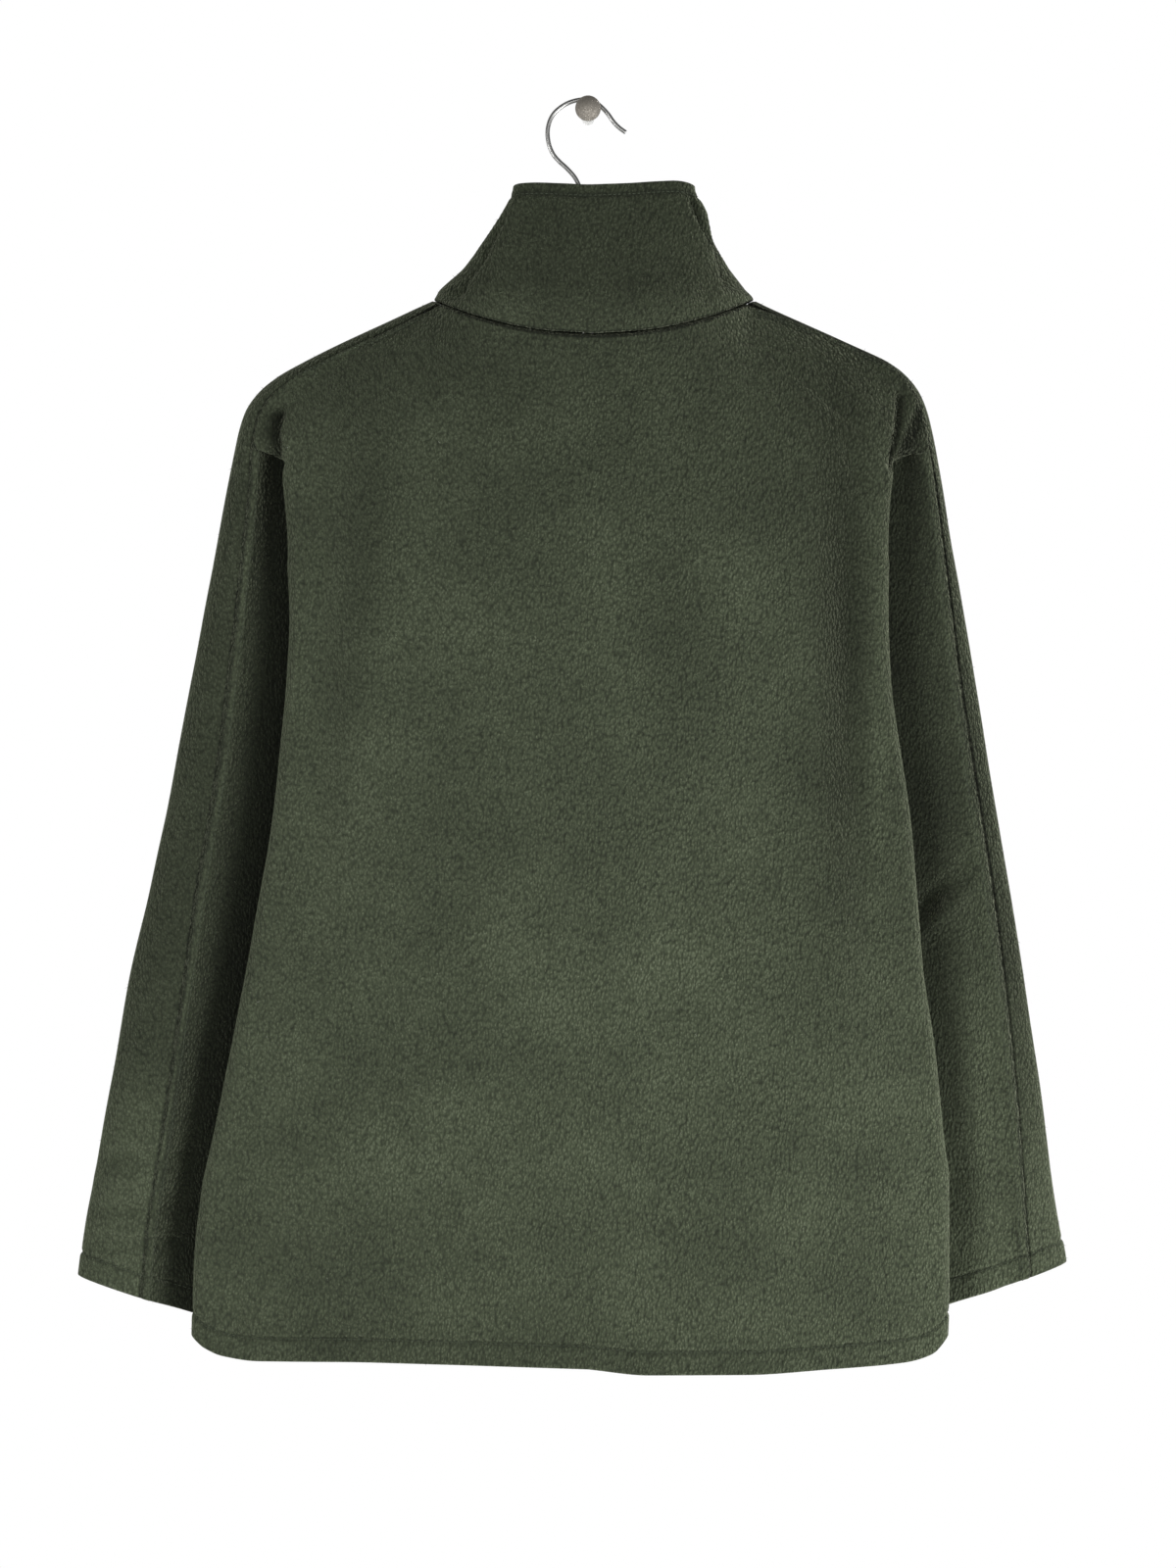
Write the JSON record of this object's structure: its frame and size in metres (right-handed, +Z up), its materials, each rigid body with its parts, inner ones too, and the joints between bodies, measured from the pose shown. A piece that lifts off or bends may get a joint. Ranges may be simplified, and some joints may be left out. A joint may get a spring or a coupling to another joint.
{
  "type": "fleece jacket on a hanger",
  "caption": "Long-sleeved fleece jacket with a tall stand collar and front zip, hanging from a hanger and wire hook on a wall pin.",
  "frame": {"origin": "on the axis of the wall pin, at the wall", "axes": "+Z up, +Y into the wall, +X to the wearer's right; the jacket's back faces -Y"},
  "size_m": [0.655, 0.0929, 0.8445],
  "materials": {
    "fleece": "dark olive green polar fleece with a short curly nap",
    "zip_tape": "woven tape with closed teeth, dark green",
    "zip_metal": "plain cast metal",
    "hanger": "dark moulded plastic",
    "hook_wire": "bright plated wire",
    "pin_metal": "turned metal, satin"
  },
  "bodies": {
    "garment": {"back": "fleece", "front_left": "fleece", "front_right": "fleece", "top_sleeve_left": "fleece", "top_sleeve_right": "fleece", "under_sleeve_left": "fleece", "under_sleeve_right": "fleece", "collar": "fleece", "zip": "zip_tape", "slider": "zip_metal", "hanger": "hanger", "hook": "hook_wire", "wall_pin": "pin_metal"},
    "pull_tab": {"pull_tab": "zip_metal"}
  },
  "joints": [
    {"name": "tab_swing", "type": "hinge", "parent": "garment", "child": "pull_tab", "pos_m": [0, -0.0184, -0.142], "axis": [1, 0, 0], "range_deg": [0, 45]}
  ]
}
